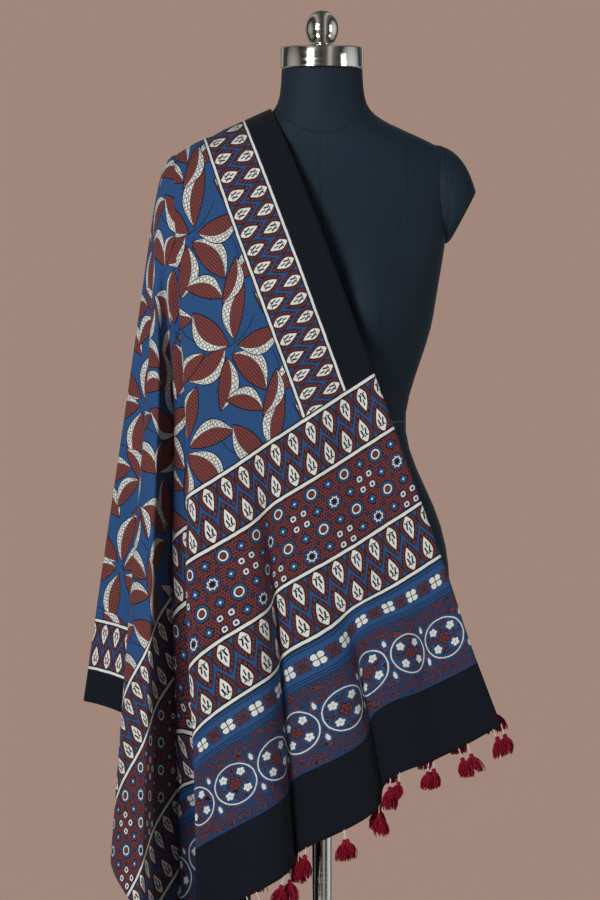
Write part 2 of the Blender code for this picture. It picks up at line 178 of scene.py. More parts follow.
SOFTBOXES = (
    # name, place, aimed at, width, height, watts
    ("key softbox", (-1.9, -2.9, 2.1), (-0.05, 0.0, 0.95), 1.0, 1.7, 96),
    ("side softbox", (2.9, -1.5, 1.6), (0.0, 0.0, 0.95), 0.8, 1.6, 18),
    ("back softbox", (0.6, 3.0, 2.2), (0.0, 0.0, 1.0), 1.4, 1.4, 30),
)
for name, spot, aim, width, height, watts in SOFTBOXES:
    light = bpy.data.lights.new(name, "AREA")
    light.shape = "RECTANGLE"
    light.size, light.size_y, light.energy = width, height, watts
    made = bpy.data.objects.new(name, light)
    made.location = spot
    made.rotation_euler = (Vector(aim) - Vector(spot)).to_track_quat("-Z", "Y").to_euler()
    made.visible_glossy = name != "back softbox"
    scene.collection.objects.link(made)

# --- The form's cover -------------------------------------
# A padded torso under a tight knitted cover, sewn from panels: a seam down the middle, one over
# each side of the bust and one round each armhole. The neck is a separate piece, set in a curve.
FORM = (
    # height, half_width, front, back, squareness
    (0.700, 0.1560, 0.102, 0.112, 2.2),
    (0.740, 0.1610, 0.108, 0.120, 2.2),
    (0.780, 0.1630, 0.110, 0.124, 2.2),
    (0.830, 0.1590, 0.108, 0.120, 2.2),
    (0.880, 0.1440, 0.100, 0.106, 2.2),
    (0.930, 0.1180, 0.089, 0.088, 2.2),
    (0.977, 0.1030, 0.080, 0.077, 2.2),
    (1.020, 0.1090, 0.083, 0.080, 2.2),
    (1.070, 0.1270, 0.092, 0.088, 2.2),
    (1.110, 0.1400, 0.098, 0.094, 2.3),
    (1.140, 0.1440, 0.100, 0.097, 2.4),
    (1.180, 0.1510, 0.097, 0.098, 2.5),
    (1.230, 0.1590, 0.086, 0.096, 2.6),
    (1.280, 0.1640, 0.071, 0.088, 2.7),
    (1.315, 0.1640, 0.060, 0.077, 2.7),
    (1.333, 0.1560, 0.054, 0.069, 2.5),
    (1.347, 0.1290, 0.052, 0.064, 2.3),
    (1.360, 0.0990, 0.051, 0.060, 2.2),
    (1.371, 0.0760, 0.051, 0.057, 2.1),
    (1.383, 0.0600, 0.051, 0.054, 2.0),
    (1.400, 0.0530, 0.051, 0.052, 2.0),
    (1.430, 0.0515, 0.0515, 0.0515, 2.0),
    (1.4362, 0.0515, 0.0515, 0.0515, 2.0),
    (1.4367, 0.0505, 0.0505, 0.0505, 2.0),
)
BUST_X, BUST_Z, BUST_RISE, BUST_WIDTH, BUST_HEIGHT = 0.074, 1.125, 0.026, 0.046, 0.058
ARM_RINGS = (
    # top_x, top_z, bottom_x, bottom_z, half_depth
    (0.120, 1.346, 0.120, 1.215, 0.036),
    (0.162, 1.3385, 0.153, 1.213, 0.042),
    (0.184, 1.314, 0.159, 1.214, 0.044),
    (0.1945, 1.284, 0.1625, 1.218, 0.036),
    (0.1955, 1.279, 0.164, 1.220, 0.033),
)
BODY_SIDES, ARM_SIDES = 72, 32


def lofted(rings):
    """A closed bmesh through rings of points: a capped circle, extruded from ring to ring."""
    bm = bmesh.new()
    verts = bmesh.ops.create_circle(bm, cap_ends=True, segments=len(rings[0]), radius=1.0)["verts"]
    edges = list(bm.edges)
    for ring in rings:
        if ring is not rings[0]:
            order = {tuple(vert.co): i for i, vert in enumerate(verts)}
            made = bmesh.ops.extrude_edge_only(bm, edges=edges)["geom"]
            edges = [part for part in made if isinstance(part, bmesh.types.BMEdge)]
            verts = [part for part in made if isinstance(part, bmesh.types.BMVert)]
            edges = [edge for edge in edges if all(vert in verts for vert in edge.verts)]
            verts.sort(key=lambda vert: order[tuple(vert.co)])
        for vert, point in zip(verts, ring):
            vert.co = point
    bmesh.ops.contextual_create(bm, geom=edges)
    bmesh.ops.recalc_face_normals(bm, faces=bm.faces)
    return bm


def form_ring(height, half_width, front, back, squareness):
    """One level section of the torso, a superellipse with its share of the bust."""
    ring = []
    for i in range(BODY_SIDES):
        turn = 2 * math.pi * i / BODY_SIDES
        c, s = math.cos(turn), math.sin(turn)
        x = half_width * math.copysign(abs(c) ** (2 / squareness), c)
        y = (back if s > 0 else front) * math.copysign(abs(s) ** (2 / squareness), s)
        if s < 0:
            across, up = (abs(x) - BUST_X) / BUST_WIDTH, (height - BUST_Z) / BUST_HEIGHT
            y -= BUST_RISE * math.exp(-across * across - up * up) * -s
        ring.append((x, y, height))
    return ring


def arm_ring(side, top_x, top_z, bottom_x, bottom_z, half_depth, inset=0.0):
    """One oval section of an arm stump, from its top round to its bottom and back."""
    middle = Vector((side * (top_x + bottom_x) / 2, 0, (top_z + bottom_z) / 2))
    up = Vector((side * (top_x - bottom_x) / 2, 0, (top_z - bottom_z) / 2)) * (1 - inset)
    turns = (2 * math.pi * i / ARM_SIDES for i in range(ARM_SIDES))
    half_depth *= 1 - inset
    return [middle + up * math.cos(a) + Vector((0, half_depth * math.sin(a), 0)) for a in turns]


def smoothed(piece, levels):
    """Adds a subdivision surface of these levels."""
    rounding = piece.modifiers.new("rounding", "SUBSURF")
    rounding.levels = rounding.render_levels = levels


DYE_BLEED = 0.0006  # how wide the soft edge of a printed or drawn line is


def formula(tree, text, **known):
    """An arithmetic expression of named sockets and numbers, made with Math nodes."""
    operations = {
        ast.Add: "ADD", ast.Sub: "SUBTRACT", ast.Mult: "MULTIPLY", ast.Div: "DIVIDE", ast.Pow: "POWER",
        "abs": "ABSOLUTE", "min": "MINIMUM", "max": "MAXIMUM", "mod": "FLOORED_MODULO", "sin": "SINE",
        "cos": "COSINE", "atan2": "ARCTAN2", "sqrt": "SQRT", "floor": "FLOOR", "fract": "FRACT",
        "exp": "EXPONENT", "less": "LESS_THAN", "wrap": "WRAP",
    }  # fmt: skip

    def value(part):
        if isinstance(part, ast.Constant):
            return float(part.value)
        if isinstance(part, ast.Name):
            return known[part.id]
        if isinstance(part, ast.UnaryOp):
            parts, operation = [ast.Constant(-1), part.operand], "MULTIPLY"
        elif isinstance(part, ast.BinOp):
            parts, operation = [part.left, part.right], operations[type(part.op)]
        elif part.func.id == "ink":
            # 1 where the distance is below 0, with an edge as soft as dye bleeds.
            soft = {0: value(part.args[0]), 1: -1 / DYE_BLEED, 2: 0.5}
            return node(tree, "ShaderNodeMath", soft, operation="MULTIPLY_ADD", use_clamp=True).outputs[0]
        else:
            parts, operation = part.args, operations[part.func.id]
        values = dict(enumerate(map(value, parts)))
        return node(tree, "ShaderNodeMath", values, operation=operation).outputs[0]

    return value(ast.parse(text, mode="eval").body)


# Knitted polyester jersey, dyed dark navy: matt, a soft sheen where it turns away, faint cloudy
# fading. The knit, about 0.9 mm, is drawn at 1.4 mm so that it shows. Its seams are fine grooves,
# with painted shade darkening the cover along them.
COVER_WALE = 0.0014  # a wave texture repeats every 0.314 over its scale
jersey, tree, shader = new_material(
    "knitted jersey cover, dark navy",
    Roughness=0.7,
    Specular_IOR_Level=0.22,
    Sheen_Weight=0.12,
    Sheen_Roughness=0.4,
    Sheen_Tint=linear("#86A3B5"),
)
place = node(tree, "ShaderNodeTexCoord").outputs["Object"]
split = node(tree, "ShaderNodeSeparateXYZ", {0: place}).outputs
known = {"x": split["X"], "y": split["Y"], "z": split["Z"]}
# Each seam is the distance to a line: down the middle, over the bust, round the neck and armhole.
known["middle"] = formula(tree, "abs(x + 0.002) + max(z - 1.352, 0)", **known)
known["bust"] = formula(tree, "abs(abs(x) - 0.074 - 0.034 * min(max((z - 1.13) / 0.15, 0), 1))", **known)
known["neck"] = formula(tree, "abs(z - 1.353 - min(9 * x * x + less(0, y), 0.030))", **known)
armhole = "abs(abs(x) - 0.1595 + (z - 1.27) * (z - 1.27) * 1.2) + max(1.20 - z, 0)"
known["armhole"] = formula(tree, armhole, **known)
seam = formula(tree, "min(min(middle, bust), min(neck, armhole))", **known)
groove = formula(tree, "max(1 - seam / 0.0013, 0) * 0.6", seam=seam)
clouds = node(tree, "ShaderNodeTexNoise", {"Vector": place, "Scale": 9.0, "Detail": 4.0}).outputs["Fac"]
waist = formula(tree, "ink(abs(z - 0.9885) - 0.0010) * 0.5", **known)
cover_tone = linear("#131E2A")
# The groove share darkens the cover as painted shade in the seams; the waist line is a pale tape.
for share, colour in ((clouds, "#1C2C3A"), (groove, "#0F161C"), (waist, "#6C7274")):
    tones = {"Factor": share, "A": cover_tone, "B": linear(colour)}
    cover_tone = node(tree, "ShaderNodeMix", tones, data_type="RGBA").outputs["Result"]
tree.links.new(cover_tone, shader.inputs["Base Color"])
wales = {"Vector": place, "Scale": 0.314 / COVER_WALE, "Distortion": 1.5, "Detail": 1.0}
knit = node(tree, "ShaderNodeTexWave", wales).outputs["Fac"]
height = formula(tree, "knit * 0.12 - groove * 2.0 + clouds * 0.6", knit=knit, groove=groove, clouds=clouds)
bump = node(tree, "ShaderNodeBump", {"Height": height, "Strength": 0.5, "Distance": 0.0008})
tree.links.new(bump.outputs["Normal"], shader.inputs["Normal"])

torso = new_piece("form_cover", lofted([form_ring(*row) for row in FORM]), jersey)
smoothed(torso, 1)
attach(torso, "root")
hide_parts("form_torso")
for side, side_name in ((1, "left"), (-1, "right")):
    rings = [arm_ring(side, *row) for row in ARM_RINGS] + [arm_ring(side, *ARM_RINGS[-1], inset=0.08)]
    arm = new_piece(f"{side_name}_arm_stump", lofted(rings), jersey)
    smoothed(arm, 2)
    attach(arm, "root")

# --- The neck cap, pole and base --------------------------
# The cap is a drawn steel cup over the neck's top with a screwed-on ball. All are chrome plated.
# The pole is tube, and the base a pressed steel disc with a welded socket.
TURN_STEPS = 96


def turned(profile):
    """A closed bmesh of a (radius, height) profile spun about the Z axis."""
    bm = bmesh.new()
    verts = [bm.verts.new((radius, 0, height)) for radius, height in profile]
    edges = [bm.edges.new(pair) for pair in zip(verts, verts[1:])]
    full_turn = {"axis": (0, 0, 1), "cent": (0, 0, 0), "angle": 2 * math.pi}
    bmesh.ops.spin(bm, geom=verts + edges, steps=TURN_STEPS, use_merge=True, **full_turn)
    bmesh.ops.remove_doubles(bm, verts=bm.verts, dist=1e-5)
    bmesh.ops.recalc_face_normals(bm, faces=bm.faces)
    return bm


# Chrome plate on steel: mirror bright, with a little haze and wiping marks from handling.
chrome, tree, shader = new_material("chrome plated steel", Metallic=1.0, Base_Color=linear("#D6D6D2"))
place = node(tree, "ShaderNodeTexCoord").outputs["Object"]
stretch = node(tree, "ShaderNodeMapping", {"Vector": place, "Scale": (1.0, 1.0, 12.0)})
haze = node(tree, "ShaderNodeTexNoise", {"Vector": stretch.outputs[0], "Scale": 30.0, "Detail": 5.0})
span = {"From Min": 0.3, "From Max": 0.8, "To Min": 0.05, "To Max": 0.2}
gloss = node(tree, "ShaderNodeMapRange", {"Value": haze.outputs["Fac"], **span})
tree.links.new(gloss.outputs[0], shader.inputs["Roughness"])

# Brushed steel: the turned base, satin rings about its middle at 0.4 mm, drawn at 1.5 mm.
steel, tree, shader = new_material(
    "brushed steel", Metallic=1.0, Roughness=0.34, Base_Color=linear("#A9ABAC")
)
place = node(tree, "ShaderNodeTexCoord").outputs["Object"]
split = node(tree, "ShaderNodeSeparateXYZ", {0: place}).outputs
rings = formula(tree, "sqrt(x * x + y * y) / 0.0015", x=split["X"], y=split["Y"])
grain = node(tree, "ShaderNodeTexNoise", {"W": rings, "Scale": 1.0, "Detail": 3.0}, noise_dimensions="1D")
bump = node(tree, "ShaderNodeBump", {"Height": grain.outputs["Fac"], "Strength": 0.25, "Distance": 0.0002})
tree.links.new(bump.outputs["Normal"], shader.inputs["Normal"])

cap_low, cap_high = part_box("neck_cap")
ball_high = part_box("cap_ball")[1]
base_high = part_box("stand_base")[1]
pole_low, pole_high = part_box("stand_pole")
cap_radius, pole_radius, base_radius = cap_high.x, pole_high.x, base_high.x
ball_radius, ball_half_height = ball_high.x, 0.0232
ball_middle = ball_high.z - ball_half_height
ball = [(0.0, cap_high.z), (0.0085, cap_high.z), (0.0100, cap_high.z + 0.0015)]
for i in range(25):
    turn = math.radians(-62 + 152 * i / 24)
    ball.append((ball_radius * math.cos(turn) ** 0.85, ball_middle + ball_half_height * math.sin(turn)))
cap = [
    (0.0, cap_low.z + 0.001), (cap_radius - 0.002, cap_low.z + 0.001), (cap_radius - 0.001, cap_low.z),
    (cap_radius, cap_low.z + 0.0008), (cap_radius, cap_high.z - 0.0020),
    (cap_radius - 0.0007, cap_high.z - 0.0007), (cap_radius - 0.0020, cap_high.z), (0.0, cap_high.z),
]  # fmt: skip
pole = [
    (0.0, pole_low.z), (pole_radius - 0.0004, pole_low.z), (pole_radius, pole_low.z + 0.0004),
    (pole_radius, pole_high.z), (0.0, pole_high.z),
]  # fmt: skip
socket_radius, base_top = 0.030, 0.008
base = [
    (0.0, 0.0), (base_radius - 0.0010, 0.0), (base_radius, 0.0012), (base_radius, base_top - 0.0025),
    (base_radius - 0.0008, base_top - 0.0008), (base_radius - 0.0030, base_top),
    (socket_radius + 0.0080, base_top + 0.0015), (socket_radius + 0.0020, base_top + 0.0030),
    (socket_radius, base_top + 0.0060), (socket_radius, base_high.z - 0.0020),
    (socket_radius - 0.0006, base_high.z - 0.0006), (socket_radius - 0.0020, base_high.z), (0.0, base_high.z),
]  # fmt: skip
for name, profile, finish, slot in (
    ("neck_cap", cap, chrome, "chrome"),
    ("cap_ball", ball, chrome, "chrome"),
    ("stand_pole", pole, chrome, "chrome"),
    ("stand_base", base, steel, "base_steel"),
):
    piece = new_piece(f"{name}_finished", turned(profile), finish)
    piece.data.set_sharp_from_angle(angle=math.radians(35))
    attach(piece, "root")
    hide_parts(name)

# --- The stole --------------------------------------------
# One rectangle of fine cotton, block printed with bands along its edges and across its ends, and
# hemmed. It hangs in folds from the right shoulder, with its smooth front panel across the chest.
CLOTH_WIDTH, FRONT_LENGTH, BACK_LENGTH = 0.855, 0.850, 0.840
CLOTH_THICKNESS = 0.0008
CLOTH_CLEARANCE = 0.0040
CELL = 0.0060  # the mesh's largest cell
SHOULDER_REACH = 0.15  # of the width that lies between the neck edge and the shoulder point
SHOULDER_POINT = Vector((-0.185, 0.0, 1.31))
ALONG_FALL = (0.342, -0.940)  # X and Z gained per metre towards the front hem
ACROSS_FALL = (-0.837, -0.547)  # X and Z gained per metre towards the outer edge
PANEL_ANGLE, PANEL_BLEND = 70.0, 8.0  # degrees round where the folds end and the panel starts
SHOULDER_CROWN, CROWN_REACH = 0.015, 0.075
# The panel: the slack and the roll of its turn over the shoulder, how far it stands off there and
# at the bust, and how it settles at the neck.
TOP_SLACK, TOP_ROLL = 0.020, 0.030
SHOULDER_OUT, SHOULDER_ROLL = 0.056, 0.032
BUST_OUT, BUST_LENGTH = 0.074, 0.26
NECK_SETTLE, NECK_ACROSS, NECK_ALONG = 0.016, 0.06, 0.12
# The fan: the round over the arm's top, its lean there, and how the folds grow and stretch below.
CAP_WIDTH, CAP_DEPTH, CAP_ROLL, CAP_SLACK = 0.018, 0.050, 0.03, 0.022
ROUND_LEAN_X, ROUND_LEAN_OUT = 0.142, 0.115
FOLD_START, FOLD_GROWTH = 0.06, 0.26
FOLD_STRETCH, STRETCH_ANGLE = 0.07, 60.0

# The folds of one half of the fan, from its outermost fold round to the front panel. The angle
# is measured on the flat cloth from the shoulder point, 0 across the width and 90 along the
# length. The leans are how far that line goes to +X and to -Y for each metre of its length.
FOLDS = (
    # angle, lean_x, lean_out
    (0.0, -0.142, 0.000),
    (9.0, -0.040, 0.034),
    (20.0, 0.085, -0.010),
    (34.0, -0.076, 0.060),
    (40.0, -0.035, 0.130),
    (43.5, -0.018, 0.075),
    (49.0, 0.030, -0.040),
    (57.0, 0.014, -0.005),
    (64.0, 0.105, 0.000),
    (70.0, 0.034, 0.115),
    (78.0, 0.150, 0.110),
)
# Soft upright waves of the front panel. Each runs from its top to its foot, where it is fully
# grown: it stands out by its rise, is gathered sideways from both sides by its tuck, and is
# drawn up by its lift.
WAVES = (
    # top_x, top_z, foot_x, foot_z, rise, breadth, tuck, lift
    (-0.081, 1.000, -0.036, 0.450, -0.014, 0.020, 0.017, 0.000),
    (-0.115, 0.900, -0.085, 0.440, 0.017, 0.030, 0.000, 0.000),
    (-0.030, 0.850, 0.008, 0.500, 0.017, 0.030, 0.000, 0.000),
    (0.022, 0.800, 0.070, 0.530, -0.014, 0.019, 0.018, 0.000),
    (0.066, 0.800, 0.100, 0.560, 0.012, 0.048, 0.000, 0.018),
    (0.105, 0.800, 0.140, 0.590, -0.004, 0.018, 0.008, 0.000),
    (0.010, 1.120, 0.075, 0.800, -0.006, 0.030, 0.000, 0.000),
)
TUCK_REACH, TUCK_DEPTH = 0.07, 0.9  # how far to each side a tuck is felt, and its share of depth
# How far the panel's edge bows to +X, over how many degrees, and along what length.
EDGE_BOW, EDGE_BREADTH, EDGE_LENGTH = 0.016, 9.0, 0.95


def eased(value):
    """0 to 1, level at both ends."""
    value = min(max(value, 0.0), 1.0)
    return value * value * (3 - 2 * value)


def through(knots, at):
    """The columns of a table at a value of its first column, on a smooth curve through the rows."""
    last = len(knots) - 2
    i = next((k for k in range(last) if at < knots[k + 1][0]), last)
    a, b = knots[i], knots[i + 1]
    before, after = knots[max(i - 1, 0)], knots[min(i + 2, last + 1)]
    span = b[0] - a[0]
    t = (at - a[0]) / span
    found = []
    for c in range(1, len(a)):
        slope_a = (b[c] - before[c]) / (b[0] - before[0]) * span
        slope_b = (after[c] - a[c]) / (after[0] - a[0]) * span
        found.append(
            (2 * t**3 - 3 * t**2 + 1) * a[c]
            + (t**3 - 2 * t**2 + t) * slope_a
            + (3 * t**2 - 2 * t**3) * b[c]
            + (t**3 - t**2) * slope_b
        )
    return found


def panel_point(across, along):
    """The smooth front panel: over the shoulder, down past the bust, then hanging."""
    drop = along - TOP_SLACK * (1 - math.exp(-along / TOP_ROLL))
    x = SHOULDER_POINT.x + ACROSS_FALL[0] * across + ALONG_FALL[0] * drop
    z = SHOULDER_POINT.z + ACROSS_FALL[1] * across + ALONG_FALL[1] * drop
    z -= NECK_SETTLE * math.exp(-(across + SHOULDER_REACH) / NECK_ACROSS - along / NECK_ALONG)
    out = SHOULDER_OUT * (1 - math.exp(-along / SHOULDER_ROLL))
    out += BUST_OUT * eased(along / BUST_LENGTH)
    gathered = lifted = 0.0
    for top_x, top_z, foot_x, foot_z, rise, breadth, tuck, lift in WAVES:
        down = (top_z - z) / (top_z - foot_z)
        off = x - top_x - (foot_x - top_x) * down
        grown = eased(2 * down)
        swell = grown * math.exp(-((off / breadth) ** 2))
        turned_in = tuck * grown * math.tanh(off / breadth) * math.exp(-((off / TUCK_REACH) ** 2))
        out += rise * swell - TUCK_DEPTH * turned_in
        gathered += turned_in
        lifted += lift * swell
    return Vector((x - gathered, -out, z + lifted))


def fan_point(angle, reach):
    """The folded side: round over the arm's top, then down the line that leans as its fold does."""
    turn = math.radians(min(angle, PANEL_ANGLE) * 90 / PANEL_ANGLE)
    lean_x, lean_out = through(FOLDS, angle)
    stretch = 1 + FOLD_STRETCH * eased(angle / STRETCH_ANGLE)
    fall = math.sqrt(1 - lean_x**2 - lean_out**2) * stretch
    folded = eased((reach - FOLD_START) / FOLD_GROWTH)
    lean_x = folded * lean_x - (1 - folded) * ROUND_LEAN_X * math.cos(turn)
    lean_out = folded * lean_out + (1 - folded) * ROUND_LEAN_OUT * math.sin(turn)
    stand = 1 - math.exp(-reach / CAP_ROLL)
    x = SHOULDER_POINT.x - CAP_WIDTH * math.cos(turn) * stand + lean_x * reach
    bow = math.sin(math.pi * min(reach / EDGE_LENGTH, 1.0))
    x += EDGE_BOW * (bow * math.exp(-(((angle - PANEL_ANGLE) / EDGE_BREADTH) ** 2)))
    out = CAP_DEPTH * math.sin(turn) * stand + lean_out * reach
    z = SHOULDER_POINT.z - (reach - CAP_SLACK * stand) * fall
    return Vector((x, -out, z))


def drape_point(across, along):
    """Where a point of the flat cloth hangs: across from the shoulder point, along to the front hem."""
    reach = math.hypot(across, along)
    front = math.degrees(math.atan2(abs(along), across))
    in_panel = eased((front - PANEL_ANGLE + PANEL_BLEND / 2) / PANEL_BLEND)
    point = Vector((0, 0, 0))
    if in_panel > 0:
        point += in_panel * panel_point(across, abs(along))
    if in_panel < 1:
        point += (1 - in_panel) * fan_point(front, reach)
    point.z += SHOULDER_CROWN * math.exp(-((reach / CROWN_REACH) ** 2))
    if along < 0:
        point.y = -point.y
    return point


def stepped(stops, cell):
    """Values from the first stop to the last that meet every stop, at most a cell apart."""
    values = [stops[0]]
    for low, high in zip(stops, stops[1:]):
        count = math.ceil((high - low) / cell - 1e-6)
        values += [low + (high - low) * (i + 1) / count for i in range(count)]
    return values


# The print's bands, as distances in from the long edges and up from the ends.
EDGE_PLAIN, EDGE_BORDER = 0.040, 0.107
END_PLAIN, END_MEDALLIONS, END_FLOWERS = 0.083, 0.179, 0.221
END_BORDER, END_RED, END_TOP = 0.299, 0.391, 0.469
edges = (0, EDGE_PLAIN, EDGE_BORDER)
widths = stepped([*edges, *(CLOTH_WIDTH - e for e in reversed(edges))], CELL)
bands = (0.0, END_PLAIN, END_MEDALLIONS, END_FLOWERS, END_BORDER, END_RED, END_TOP)
lengths = stepped([e - BACK_LENGTH for e in bands] + [FRONT_LENGTH - e for e in reversed(bands)], CELL)

torso_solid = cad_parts["form_torso"].data
torso_tree = BVHTree.FromPolygons(
    [vert.co for vert in torso_solid.vertices], [face.vertices for face in torso_solid.polygons]
)
form_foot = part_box("form_torso")[0].z


def lift_clear(point):
    """The move that takes a point off the form. Below its foot the form counts as going on down."""
    if point[2] < form_foot - 0.15:
        return None
    level = Vector((point[0], point[1], max(point[2], form_foot + 0.004)))
    spot, normal, _, distance = torso_tree.find_nearest(level, 0.08)
    if spot is None:
        return None
    height = (level - spot).dot(normal)
    return normal * (CLOTH_CLEARANCE - height) if height < CLOTH_CLEARANCE else None


def settled(places, smooth_rounds, firm_rounds):
    """The grid of places eased off the form: each lift is shared smoothly with its neighbours."""
    lifts = np.zeros_like(places)
    for turn in range(smooth_rounds + firm_rounds):
        if turn < smooth_rounds:
            wide = np.pad(lifts, ((1, 1), (1, 1), (0, 0)), mode="edge")
            around = wide[:-2, 1:-1] + wide[2:, 1:-1] + wide[1:-1, :-2] + wide[1:-1, 2:]
            lifts = lifts * 0.4 + around * 0.15
        now = places + lifts
        for i, k in np.ndindex(now.shape[:2]):
            lift = lift_clear(now[i, k])
            if lift is not None:
                lifts[i, k] += lift
    return lifts


places = np.array([[drape_point(u - SHOULDER_REACH, v) for v in lengths] for u in widths])
coarse_u, coarse_v = np.arange(0, len(widths), 4), np.arange(0, len(lengths), 4)
coarse = settled(places[np.ix_(coarse_u, coarse_v)], 44, 4)
share_u = np.interp(np.arange(len(widths)), coarse_u, np.arange(len(coarse_u)))
share_v = np.interp(np.arange(len(lengths)), coarse_v, np.arange(len(coarse_v)))
low_u = np.minimum(share_u.astype(int), len(coarse_u) - 2)
low_v = np.minimum(share_v.astype(int), len(coarse_v) - 2)
t_u, t_v = (share_u - low_u)[:, None, None], (share_v - low_v)[None, :, None]
places += (
    coarse[np.ix_(low_u, low_v)] * (1 - t_u) * (1 - t_v)
    + coarse[np.ix_(low_u + 1, low_v)] * t_u * (1 - t_v)
    + coarse[np.ix_(low_u, low_v + 1)] * (1 - t_u) * t_v
    + coarse[np.ix_(low_u + 1, low_v + 1)] * t_u * t_v
)
places += settled(places, 10, 3)


# The dyes: indigo and madder over a black outline, and the cloth's own white where a paste of
# lime and gum kept the dye out. Reaction dyes sink in, so the print has no edge or gloss of its own.
DYES = {
    "white": "#DCDDD8",
    "black": "#10121A",
    "indigo": "#294E7E",
    "deep_indigo": "#203B60",
    "madder": "#6C3535",
    "bright_madder": "#854540",
    "dull_madder": "#5C3237",
    "navy": "#0A101B",
}


def printed_cotton(name, ground, steps=()):
    """Fine plain-woven cotton. Each step names a distance on the cloth, or a dye and where it prints."""
    made, tree, shader = new_material(
        name, Roughness=0.86, Specular_IOR_Level=0.18, Sheen_Weight=0.06, Sheen_Roughness=0.5
    )
    flat = node(tree, "ShaderNodeUVMap", uv_map="print").outputs[0]
    # Hand-set blocks and bleeding dye move the print's edges by up to about half a millimetre.
    wander = node(tree, "ShaderNodeTexNoise", {"Vector": flat, "Scale": 90.0, "Detail": 3.0}).outputs["Color"]
    wander = {0: wander, 1: (0.5, 0.5, 0.5)}
    wander = node(tree, "ShaderNodeVectorMath", wander, operation="SUBTRACT").outputs[0]
    moved = {0: wander, 1: (0.0016,) * 3, 2: flat}
    moved = node(tree, "ShaderNodeVectorMath", moved, operation="MULTIPLY_ADD").outputs[0]
    split = node(tree, "ShaderNodeSeparateXYZ", {0: moved}).outputs
    known = {"a": split["X"], "b": split["Y"]}
    colour = node(tree, "ShaderNodeRGB").outputs[0]
    colour.default_value = linear(DYES[ground])
    for target, text in steps:
        if target == "scroll":
            swirl = {"Vector": moved, "Scale": 52.0, "Detail": 0.0, "Distortion": 1.6}
            known[target] = node(tree, "ShaderNodeTexNoise", swirl).outputs["Fac"]
            continue
        if target in ("curls", "crackle"):
            # Both are the lines of a net: cells 4 mm across, or for curls 8 mm and stirred out of straight.
            cells = {"Vector": moved, "Scale": 240.0, "Randomness": 0.7}
            if target == "curls":
                stirred = {"Vector": moved, "Scale": 90.0, "Detail": 0.0}
                stirred = node(tree, "ShaderNodeTexNoise", stirred).outputs["Color"]
                stirred = {0: stirred, 1: (0.018,) * 3, 2: moved}
                stirred = node(tree, "ShaderNodeVectorMath", stirred, operation="MULTIPLY_ADD").outputs[0]
                cells = {"Vector": stirred, "Scale": 125.0, "Randomness": 1.0}
            net = {"voronoi_dimensions": "2D", "feature": "DISTANCE_TO_EDGE"}
            known[target] = node(tree, "ShaderNodeTexVoronoi", cells, **net).outputs["Distance"]
            continue
        made_value = formula(tree, text, **known)
        if target in DYES:
            inks = {"Factor": made_value, "A": colour, "B": linear(DYES[target])}
            colour = node(tree, "ShaderNodeMix", inks, data_type="RGBA").outputs["Result"]
        else:
            known[target] = made_value
    # Yarns about 0.3 mm apart, drawn as slubs 1.5 mm wide that run along and across the cloth.
    slubs = []
    for scale in ((650.0, 45.0, 1.0), (45.0, 650.0, 1.0)):  # repeats a metre
        drawn = node(tree, "ShaderNodeMapping", {"Vector": flat, "Scale": scale}).outputs[0]
        drawn = {"Vector": drawn, "Scale": 1.0, "Detail": 2.0}
        slubs.append(node(tree, "ShaderNodeTexNoise", drawn).outputs["Fac"])
    cloudy = node(tree, "ShaderNodeTexNoise", {"Vector": flat, "Scale": 22.0, "Detail": 3.0}).outputs["Fac"]
    weave = formula(tree, "one + two", one=slubs[0], two=slubs[1])
    level = formula(tree, "0.72 + weave * 0.16 + cloudy * 0.26", weave=weave, cloudy=cloudy)
    toned = node(tree, "ShaderNodeVectorMath", {0: colour, "Scale": level}, operation="SCALE")
    tree.links.new(toned.outputs[0], shader.inputs["Base Color"])
    bump = node(tree, "ShaderNodeBump", {"Height": weave, "Strength": 0.35, "Distance": 0.0006})
    tree.links.new(bump.outputs["Normal"], shader.inputs["Normal"])
    return made


